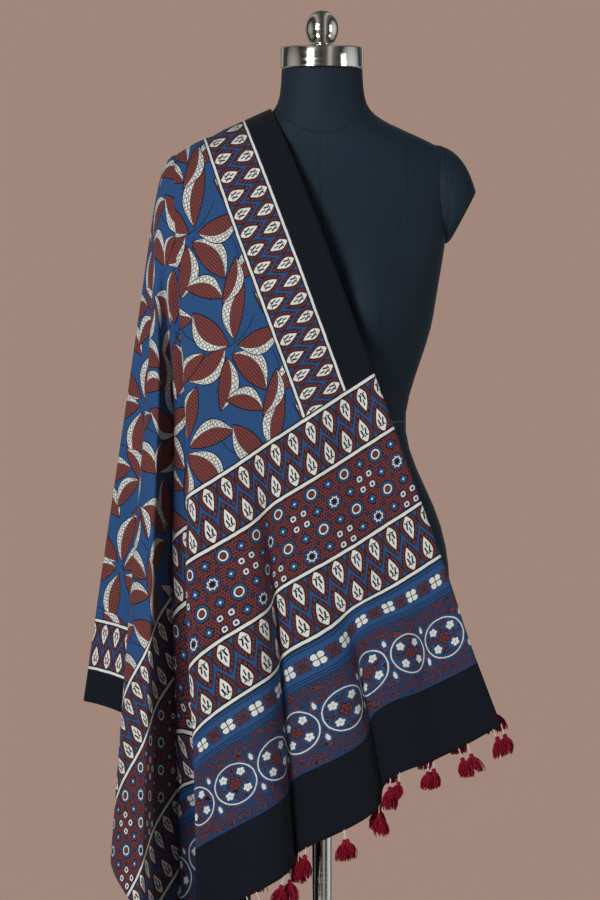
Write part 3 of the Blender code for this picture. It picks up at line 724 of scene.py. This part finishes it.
# The leaf border: almonds in two facing rows between white lines, half a pitch apart, each in a
# madder halo of small bricks, on an indigo trellis. They are 25.5 mm apart along a, in a border
# 78 mm wide across b. The side borders are squeezed from it: 67 mm wide, with a shorter pitch.
BORDER_WIDTH = 0.078
SIDE_PITCH = 1.07  # how many times closer the almonds stand along the side borders
LEAF_BORDER = (
    ("x_low", "(fract(a / 0.0255) - 0.5) * 0.0255"),
    ("y_low", "b - 0.0182"),
    ("halo_low", "abs(x_low) - 0.0113 + max(3.9 * max(y_low, 0) ** 1.6, 33 * min(y_low, 0) ** 2)"),
    ("x_high", "(fract(a / 0.0255 + 0.5) - 0.5) * 0.0255"),
    ("y_high", "0.0598 - b"),
    ("halo_high", "abs(x_high) - 0.0113 + max(3.9 * max(y_high, 0) ** 1.6, 33 * min(y_high, 0) ** 2)"),
    ("high", "less(halo_high, halo_low)"),
    ("x", "x_low + (x_high - x_low) * high"),
    ("y", "y_low + (y_high - y_low) * high"),
    ("halo", "min(halo_low, halo_high)"),
    ("black", "ink(halo - 0.0014)"),
    ("madder", "ink(halo - 0.0003)"),
    ("brick", "abs(fract(atan2(x, y) * 3.82) - 0.5) * 0.0030 - 0.00050"),
    ("black", "ink(max(brick, halo - 0.0001))"),
    ("seed", "abs(x) - 0.0066 + max(3.9 * max(y, 0) ** 1.6, 8.2 * max(0 - y, 0) ** 1.6)"),
    ("black", "ink(seed - 0.0015)"),
    ("white", "ink(seed)"),
    ("collar", "abs(y + 0.0042 - 0.0016 * abs(sin(x * 600))) - 0.00080"),
    ("middle_vein", "max(abs(x) - 0.00080, abs(y - 0.0078) - 0.0038)"),
    ("veins", "max(abs(abs(x) - 0.0022 - 0.22 * y) - 0.00105, abs(y - 0.0026) - 0.0029)"),
    ("drops", "sqrt((abs(x) - 0.0018) ** 2 + (y + 0.0010) ** 2) - 0.0013"),
    ("black", "ink(max(min(min(collar, veins), min(middle_vein, drops)), seed + 0.0009))"),
    ("line", "min(abs(b - 0.0038), abs(b - 0.0742))"),
    ("black", "ink(line - 0.0040)"),
    ("white", "ink(line - 0.0019)"),
)
# The red ground, four rows of sites 23 mm apart: by turns ringed roundels, eight-pointed stars,
# fours of small rings, and indigo squares with a white spot, on madder peppered with black.
STAR_GROUND = (
    ("row", "floor(b / 0.0037)"),
    ("pepper_x", "(fract(a / 0.0037 + 0.5 * mod(row, 2)) - 0.5) * 0.0037"),
    ("pepper_y", "b - (row + 0.5) * 0.0037"),
    ("black", "ink(sqrt(pepper_x * pepper_x + pepper_y * pepper_y) - 0.00100)"),
    ("i", "floor(a / 0.0230)"),
    ("j", "floor(b / 0.0230)"),
    ("x", "a - (i + 0.5) * 0.0230"),
    ("y", "b - (j + 0.5) * 0.0230"),
    ("diamond", "0.0230 - abs(x) - abs(y)"),
    ("black", "ink(diamond - 0.0034)"),
    ("deep_indigo", "ink(diamond - 0.0024)"),
    ("r", "sqrt(x * x + y * y)"),
    ("odd_i", "mod(i, 2)"),
    ("odd_j", "mod(j, 2)"),
    ("square", "abs(x) + abs(y) + 1 - abs(odd_i - odd_j)"),
    ("black", "ink(square - 0.0076)"),
    ("indigo", "ink(square - 0.0058)"),
    ("white", "ink(max(square - 0.5, r - 0.0013))"),
    ("even", "(1 - odd_i) * (1 - odd_j)"),
    ("starred", "even * mod((i + j) / 2, 2)"),
    ("x_small", "abs(x) - 0.0068"),
    ("y_small", "abs(y) - 0.0068"),
    ("r_small", "sqrt(x_small * x_small + y_small * y_small)"),
    ("small", "max(abs(x_small), abs(y_small)) * 0.4 + r_small * 0.6 + 1 - even + starred"),
    ("black", "ink(small - 0.0049)"),
    ("indigo", "ink(small - 0.0042)"),
    ("white", "ink(small - 0.0034)"),
    ("dull_madder", "ink(small - 0.0017)"),
    ("round", "r + 1 - starred - odd_i * odd_j - starred * 0.0008 * cos(8 * atan2(y, x))"),
    ("black", "ink(round - 0.0104)"),
    ("indigo", "ink(round - 0.0093)"),
    ("black", "ink(round - 0.0073)"),
    ("white", "ink(round - 0.0061)"),
    ("black", "ink(round - 0.0043)"),
    ("madder", "ink(round - 0.0034)"),
    ("deep_indigo", "ink(r + 1 - starred - 0.0036)"),
    ("black", "ink(r + 1 - starred - 0.0026)"),
)
# The flower band: white four-petalled flowers 35 mm apart, with pairs of broken madder petals
# between them, ruled above and below with two black lines.
FLOWER_BAND = (
    ("off", "abs(b - 0.022)"),
    ("black", "ink(max(abs(mod(off - 0.0140, 0.0032) - 0.0016) - 0.00050, 0.0140 - off))"),
    ("x", "(fract(a / 0.035) - 0.5) * 0.035"),
    ("y", "b - 0.0215"),
    ("r", "sqrt(x * x + y * y)"),
    ("axis", "min(abs(x), abs(y))"),
    ("petals", "r - 0.0090 * (0.40 + 0.60 * sqrt(abs(sin(2 * atan2(y, x)))))"),
    ("black", "ink(petals - 0.0009)"),
    ("white", "ink(max(petals, 0.0005 - axis))"),
    ("black", "ink(max(axis - 0.0004, r - 0.0100))"),
    ("x_red", "abs((fract(a / 0.035 + 0.5) - 0.5) * 0.035)"),
    ("y_red", "abs(y)"),
    ("r_red", "sqrt((x_red - 0.0042) ** 2 + (y_red - 0.0040) ** 2)"),
    ("petals_red", "r_red - 0.0036 - 0.0009 * sin(x_red * 1400)"),
    ("black", "ink(petals_red - 0.0007)"),
    ("dull_madder", "ink(petals_red)"),
    ("black", "ink(max(abs(x_red - y_red) - 0.0005, petals_red))"),
)
# The medallion band: white rings 50 mm across and 54 mm apart, each round four white flowers and
# dull madder scrolls, on an indigo ground of fine madder curls. White buds stand between the rings.
MEDALLION_BAND = (
    ("scroll", ""),
    ("curls", ""),
    ("black", "ink((curls - 0.150) * 0.009)"),
    ("madder", "ink((curls - 0.085) * 0.009)"),
    ("edge", "min(b, 0.096 - b)"),
    ("deep_indigo", "ink(edge - 0.0024)"),
    ("x_bud", "(fract(a / 0.054 + 0.5) - 0.5) * 0.054"),
    ("y", "b - 0.048"),
    ("bud", "sqrt(x_bud * x_bud * 4 + (abs(y) - 0.0205) ** 2) - 0.0042 - 0.0008 * sin(y * 2600)"),
    ("indigo", "ink(bud - 0.0036)"),
    ("x", "(fract(a / 0.054) - 0.5) * 0.054"),
    ("r", "sqrt(x * x + y * y)"),
    ("indigo", "ink(r - 0.0270)"),
    ("black", "ink(bud - 0.0008)"),
    ("white", "ink(bud)"),
    ("black", "ink(r - 0.0259)"),
    ("white", "ink(r - 0.0252)"),
    ("black", "ink(r - 0.0237)"),
    ("indigo", "ink(r - 0.0230)"),
    ("inner", "abs(fract(scroll * 6 + 0.2) - 0.5)"),
    ("navy", "ink(max(r - 0.0220, (inner - 0.32) * 0.014))"),
    ("dull_madder", "ink(max(r - 0.0215, (inner - 0.17) * 0.014))"),
    ("heart", "r - 0.0060 - 0.0012 * cos(5 * atan2(y, x))"),
    ("black", "ink(heart - 0.0010)"),
    ("madder", "ink(heart)"),
    ("black", "ink(abs(r - 0.0028) - 0.0005)"),
    ("x_small", "abs(x) - 0.0110"),
    ("y_small", "abs(y) - 0.0110"),
    ("r_small", "sqrt(x_small * x_small + y_small * y_small)"),
    ("petals", "r_small - 0.0052 * (0.55 + 0.45 * sqrt(abs(sin(2.5 * atan2(y_small, x_small)))))"),
    ("indigo", "ink(petals - 0.0022)"),
    ("black", "ink(petals - 0.0009)"),
    ("white", "ink(petals)"),
    ("black", "ink(r_small - 0.0008) * 0.7"),
)
# The leaf field: big curved leaves in loose whorls with thin stems between, repeating every 208 mm
# across the cloth and 148 mm along it. A leaf is madder with a fine grid, and crackled white
# along its outer side. Millimetres, and a heading in degrees from across to along.
FIELD_REPEAT = (208, 148)
LEAVES = (
    # middle_u, middle_v, heading, length, half_width, bend, madder share
    (96, 36, 2, 64, 15.5, -9, 0.30),
    (80, 73, 58, 62, 16.0, 7, 0.32),
    (42, 76, 112, 71, 16.5, 9, 0.38),
    (17, 44, 168, 62, 14.5, 8, 0.26),
    (30, 3, 235, 62, 13.5, 6, 0.45),
    (70, -4, 292, 68, 16.5, -8, 0.30),
    (198, 108, 10, 60, 15.5, 8, 0.36),
    (186, 142, 60, 60, 13.5, 7, 0.20),
    (150, 146, 112, 66, 16.0, 8, 0.34),
    (122, 114, 172, 60, 14.0, -8, 0.30),
    (136, 74, 236, 64, 14.0, 9, 0.18),
    (178, 74, 296, 66, 16.0, 8, 0.34),
    (106, 84, 100, 38, 6.5, 5, -0.80),
    (134, 34, 48, 54, 11.5, 8, 0.10),
    (170, 30, 138, 54, 12.5, 8, 0.24),
    (92, 128, 66, 44, 7.5, 5, -0.45),
    (10, 104, 22, 47, 10.0, -6, 0.40),
)
STEMS = (
    # middle_u, middle_v, heading, length, bend
    (76, 54, 35, 56, 5),
    (36, 52, 140, 48, -5),
    (178, 128, 40, 54, 5),
    (142, 96, 200, 50, -6),
    (120, 12, 75, 52, 8),
    (204, 60, 110, 52, -7),
)


def leaf_steps(middle_u, middle_v, heading, length, bend):
    """The steps that place a curved leaf: share is -1 to 1 along it, and off the distance across it."""
    c, s = math.cos(math.radians(heading)), math.sin(math.radians(heading))
    wide, high = FIELD_REPEAT[0] / 2, FIELD_REPEAT[1] / 2
    return [
        ("x", f"wrap(u - {middle_u}, {wide}, {-wide})"),
        ("y", f"wrap(v - {middle_v}, {high}, {-high})"),
        ("share", f"x * {2 * c / length:.5f} + y * {2 * s / length:.5f}"),
        ("bow", "1 - share * share"),
        ("off", f"y * {c:.4f} - x * {s:.4f} - {bend} * bow"),
    ]


LEAF_FIELD = [("u", "a * 1000"), ("v", "b * 1000")]
LEAF_FIELD += [(kind, "99") for kind in ("leaf", "red", "pale", "stem")]  # 99 mm is clear of them all
for *row, half_width, bend, madder_share in LEAVES:
    LEAF_FIELD += leaf_steps(*row, bend)
    side = 1 if bend > 0 else -1
    LEAF_FIELD += [
        ("half", f"{half_width} * bow"),
        ("this", "abs(off) - half"),
        ("cut", f"off * {side} - {madder_share} * half"),
        ("leaf", "min(leaf, this)"),
        ("clear", "1.6 - this"),
        ("red", "min(max(red, clear), max(this, cut))"),
        ("pale", "min(max(pale, clear), max(this, 0.8 - cut))"),
    ]
for row in STEMS:
    LEAF_FIELD += leaf_steps(*row)
    LEAF_FIELD.append(("stem", "min(stem, max(abs(off) - 0.5, 0 - 20 * bow))"))
LEAF_FIELD += [
    ("navy", "ink(stem / 1000)"),
    ("navy", "ink((leaf - 1.5) / 1000)"),
    ("bright_madder", "ink(red / 1000)"),
    ("white", "ink(pale / 1000)"),
    ("p", "u * 0.27 + v * 0.12"),
    ("q", "v * 0.27 - u * 0.12"),
    ("grid", "min(abs(fract(p) - 0.5), abs(fract(q) - 0.5)) * 3.4 - 0.50"),
    ("black", "ink(max(red + 0.5, grid) / 1000) * 0.8"),
    ("crackle", ""),
    ("black", "ink(max((pale + 0.5) / 1000, (crackle - 0.092) * 0.010)) * 0.95"),
]
# The plain edges: a narrow hem turned in and sewn 7 mm from the edge.
HEM = (
    ("edge", "min(min(a, 0.855 - a), min(0.850 - b, b + 0.840))"),
    ("black", "ink(abs(edge - 0.0075) - 0.0006) * 0.7"),
)
cottons = [
    printed_cotton("plain dyed cotton, navy", "navy", HEM),
    printed_cotton("block-printed cotton, leaf field", "indigo", LEAF_FIELD),
    printed_cotton("block-printed cotton, leaf border", "indigo", LEAF_BORDER),
    printed_cotton("block-printed cotton, star ground", "madder", STAR_GROUND),
    printed_cotton("block-printed cotton, flower band", "indigo", FLOWER_BAND),
    printed_cotton("block-printed cotton, medallion band", "deep_indigo", MEDALLION_BAND),
]
PLAIN, FIELD, BORDER, RED, FLOWERS, MEDALLIONS = range(6)


def band_of(u, v):
    """The material of the print at a point of the flat cloth, and where its band starts, up from the end.
    That is 0 off the bands, and less than 0 in a side border, which starts so far in from the edge."""
    end = FRONT_LENGTH - v if v > 0 else v + BACK_LENGTH
    edge = min(u, CLOTH_WIDTH - u)
    if end < END_PLAIN:
        return PLAIN, 0.0
    for top, low, finish in (
        (END_MEDALLIONS, END_PLAIN, MEDALLIONS),
        (END_FLOWERS, END_MEDALLIONS, FLOWERS),
        (END_BORDER, END_FLOWERS, BORDER),
        (END_RED, END_BORDER, RED),
        (END_TOP, END_RED, BORDER),
    ):
        if end < top:
            return finish, low
    if edge < EDGE_PLAIN:
        return PLAIN, 0.0
    return (BORDER, -EDGE_PLAIN) if edge < EDGE_BORDER else (FIELD, 0.0)


bm = bmesh.new()
bmesh.ops.create_grid(bm, x_segments=len(widths) - 1, y_segments=len(lengths) - 1, size=0.5)
bm.verts.ensure_lookup_table()
columns, rows = len(widths), len(lengths)
for vert in bm.verts:
    i, k = round((vert.co.x + 0.5) * (columns - 1)), round((vert.co.y + 0.5) * (rows - 1))
    vert.co = places[i, k]
    vert.index = i * rows + k
print_map = bm.loops.layers.uv.new("print")
for face in bm.faces:
    spots = [(widths[v.index // rows], lengths[v.index % rows]) for v in face.verts]
    middle_u, middle_v = sum(s[0] for s in spots) / 4, sum(s[1] for s in spots) / 4
    face.material_index, low = band_of(middle_u, middle_v)
    for loop, (u, v) in zip(face.loops, spots):
        # An end band is laid along the width, and a side border along the length.
        if low > 0:
            place_2d = (u, (FRONT_LENGTH - v if middle_v > 0 else v + BACK_LENGTH) - low)
        elif low < 0:
            edge = u if middle_u < CLOTH_WIDTH / 2 else CLOTH_WIDTH - u
            place_2d = (v * SIDE_PITCH, (edge + low) * BORDER_WIDTH / (EDGE_BORDER - EDGE_PLAIN))
        else:
            place_2d = (u, v)
        loop[print_map].uv = place_2d
stole = new_piece("stole", bm, cottons[0])
for finish in cottons[1:]:
    stole.data.materials.append(finish)
thick = stole.modifiers.new("thickness", "SOLIDIFY")
thick.thickness = CLOTH_THICKNESS
thick.offset = 0.0
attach(stole, "root")
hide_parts("cloth")

# --- The tassels ------------------------------------------
# Pairs of crimson cotton tufts along both ends. Each hangs on a white twisted cord through the
# hem: its yarns are doubled over the cord's knot, bound under it and left loose and bushy.
STRANDS = 76
STRAND_RADIUS, PLY_RADIUS = 0.00055, 0.00048
CORD_DROP = 0.0150  # from the hem to the knot that a tuft is bound over
TUFT_LENGTH, TUFT_RADIUS = 0.0225, 0.0098

# Loose cotton yarn, dyed crimson: matt, with random tufts about 2.4 mm long of painted highlight and
# shade, lighter where the yarn's fibre ends stand up.
yarn, tree, shader = new_material(
    "dyed cotton yarn, crimson",
    Roughness=0.85,
    Specular_IOR_Level=0.15,
    Sheen_Weight=0.15,
    Sheen_Tint=linear("#D8415F"),
)
place = node(tree, "ShaderNodeTexCoord").outputs["Object"]
turns = node(tree, "ShaderNodeTexNoise", {"Vector": place, "Scale": 420.0, "Detail": 3.0}).outputs["Fac"]
# The dark and light reds are painted shade and highlight, mixed at random, lighter where the bump stands up.
yarn_highlight_and_shade = {"Factor": turns, "A": linear("#5E0A1D"), "B": linear("#AC1B39")}
yarn_highlight_and_shade = node(tree, "ShaderNodeMix", yarn_highlight_and_shade, data_type="RGBA")
tree.links.new(yarn_highlight_and_shade.outputs["Result"], shader.inputs["Base Color"])
bump = node(tree, "ShaderNodeBump", {"Height": turns, "Strength": 0.6, "Distance": 0.0005})
tree.links.new(bump.outputs["Normal"], shader.inputs["Normal"])

# Undyed cotton cord: matt natural white, with painted shade that greys it in random flecks between the fibre
# strands.
cord_cotton, tree, shader = new_material("twisted cotton cord, natural white", Roughness=0.85)
place = node(tree, "ShaderNodeTexCoord").outputs["Object"]
fibre_shade = node(tree, "ShaderNodeTexNoise", {"Vector": place, "Scale": 600.0, "Detail": 2.0}).outputs["Fac"]
# The grey is painted shade between the fibre strands.
whites = {"Factor": fibre_shade, "A": linear("#CFC6BF"), "B": linear("#F4EFEA")}
whites = node(tree, "ShaderNodeMix", whites, data_type="RGBA")
tree.links.new(whites.outputs["Result"], shader.inputs["Base Color"])


def threads(name, paths):
    """A mesh of round threads, one along each list of (place, radius)."""
    curve = bpy.data.curves.new(name, "CURVE")
    curve.dimensions = "3D"
    curve.bevel_depth, curve.bevel_resolution = 1.0, 0
    curve.use_fill_caps = True
    for path in paths:
        spline = curve.splines.new("POLY")
        spline.points.add(len(path) - 1)
        for at, (place, radius) in zip(spline.points, path):
            at.co, at.radius = (*place, 1.0), radius
    drawn = bpy.data.objects.new(name, curve)
    scene.collection.objects.link(drawn)
    bpy.context.view_layer.update()
    mesh = bpy.data.meshes.new_from_object(drawn.evaluated_get(bpy.context.evaluated_depsgraph_get()))
    bpy.data.objects.remove(drawn, do_unlink=True)
    made = bpy.data.objects.new(name, mesh)
    scene.collection.objects.link(made)
    mesh.shade_smooth()
    return made


def beside(down):
    """Two directions across a thread's own, at right angles to each other."""
    right = down.cross(Vector((0.3, 1, 0.1))).normalized()
    return right, right.cross(down)


def tuft(draw, head, down):
    """The yarns of one tuft: a dense core, then strands out of the knot, in under its binding and out."""
    right, front = beside(down)
    sway = (right * draw.uniform(-1, 1) + front * draw.uniform(-1, 1)) * 0.004
    size = draw.uniform(0.85, 1.12)
    core = ((-0.0030, 0.0016), (-0.0014, 0.0026), (0.0008, 0.0019), (0.006, 0.0048), (0.016, 0.0066))
    # How far down a strand each point is, and how far out, as shares of the tuft's length and radius.
    shape = ((-0.15, 0.08), (-0.07, 0.27), (0.03, 0.21), (0.24, 0.66), (0.60, 1.0), (1.0, 0.94))
    paths = [[(head + down * reach + sway * (reach / 0.02) ** 2, radius * size) for reach, radius in core]]
    for _ in range(STRANDS):
        turn, share = draw.uniform(0, 2 * math.pi), math.sqrt(draw.uniform(0.15, 1.0))
        twist, length = draw.uniform(-0.6, 0.6), TUFT_LENGTH * size * draw.uniform(0.78, 1.05)
        flare = draw.uniform(1.15, 1.45) if draw.random() < 0.08 else 1.0
        path = []
        for part, radius in shape:
            angle = turn + twist * max(part, 0)
            out = TUFT_RADIUS * size * radius * (share * flare if part > 0.1 else 1.0)
            aside = (right * math.cos(angle) + front * math.sin(angle)) * out
            path.append((head + down * length * part + aside + sway * max(part, 0) ** 2, STRAND_RADIUS))
        paths.append(path)
    return paths


def cord(start, head, down):
    """The two plies of a cord from the hem to a tuft's knot."""
    right, front = beside(down)
    plies = []
    for ply in (0, math.pi):
        path = []
        for i in range(16):
            turn = ply + i * 1.1
            aside = (right * math.cos(turn) + front * math.sin(turn)) * PLY_RADIUS
            path.append((start.lerp(head, i / 15) + aside, PLY_RADIUS))
        plies.append(path)
    return plies


draw = random.Random(11)
hems = {"front": places[:, -1], "back": places[:, 0]}
for end, hem in hems.items():
    nodes = sorted(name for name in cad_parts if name.startswith(f"{end}_tassel_"))
    strands, cords = [], []
    for name in nodes:
        corners = np.array([vert.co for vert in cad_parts[name].data.vertices])
        top = corners[corners[:, 2] > corners[:, 2].max() - 0.003].mean(axis=0)
        foot = corners[corners[:, 2] < corners[:, 2].min() + 0.008].mean(axis=0)
        axis = Vector(foot - top).normalized()
        near = int(np.abs(hem - top).sum(axis=1).argmin())
        gap = draw.choice((0, 1, 1, 1))
        swing = Vector((draw.uniform(-0.3, 0.3), draw.uniform(-0.2, 0.2), 0))
        for side in (-1, 1):
            start = Vector(hem[min(max(near + side * gap, 0), len(hem) - 1)]) + Vector((0, 0, 0.0012))
            lean = swing + Vector((draw.uniform(-0.25, 0.25), draw.uniform(-0.25, 0.25), 0))
            down = (axis + lean + Vector((side * (0.28 if gap == 0 else 0.05), 0, 0))).normalized()
            head = start + down * CORD_DROP * draw.uniform(0.9, 1.15)
            strands += tuft(draw, head, (down + axis * 0.6).normalized())
            cords += cord(start, head, down)
    tufts = threads(f"{end}_tassel_tufts", strands)
    tufts.data.materials.append(yarn)
    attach(tufts, "root")
    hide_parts(*nodes)
    strings = threads(f"{end}_tassel_cords", cords)
    strings.data.materials.append(cord_cotton)
    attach(strings, "root")

# --- Sizes ------------------------------------------------
low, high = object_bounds()
